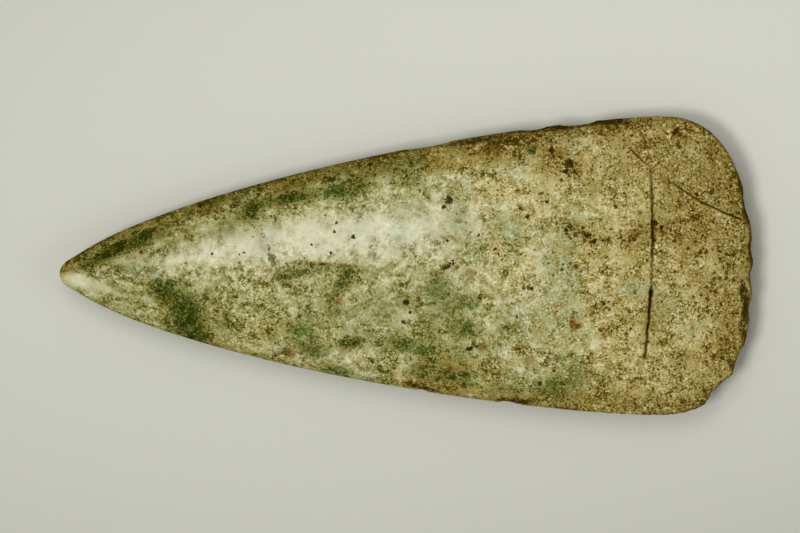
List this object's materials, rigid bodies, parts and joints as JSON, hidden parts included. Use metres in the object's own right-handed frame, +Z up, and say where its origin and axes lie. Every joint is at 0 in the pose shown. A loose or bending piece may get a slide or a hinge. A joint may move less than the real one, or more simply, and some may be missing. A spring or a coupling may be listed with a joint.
{
  "type": "jadeite axe head",
  "caption": "Polished stone axe head, pointed at the butt and broad at a rounded cutting edge, with worn chips and a narrow groove across one face.",
  "frame": {"origin": "middle of the bounding box in plan, on the plane that the underside rests on", "axes": "+X from the butt point to the cutting edge, +Z up through the thickness, away from the resting face"},
  "size_m": [0.2, 0.086, 0.023],
  "materials": {
    "jadeite": "polished and mottled green, ochre and brown, duller towards the cutting edge"
  },
  "bodies": {
    "root": {"axe_head": "jadeite"}
  },
  "joints": []
}
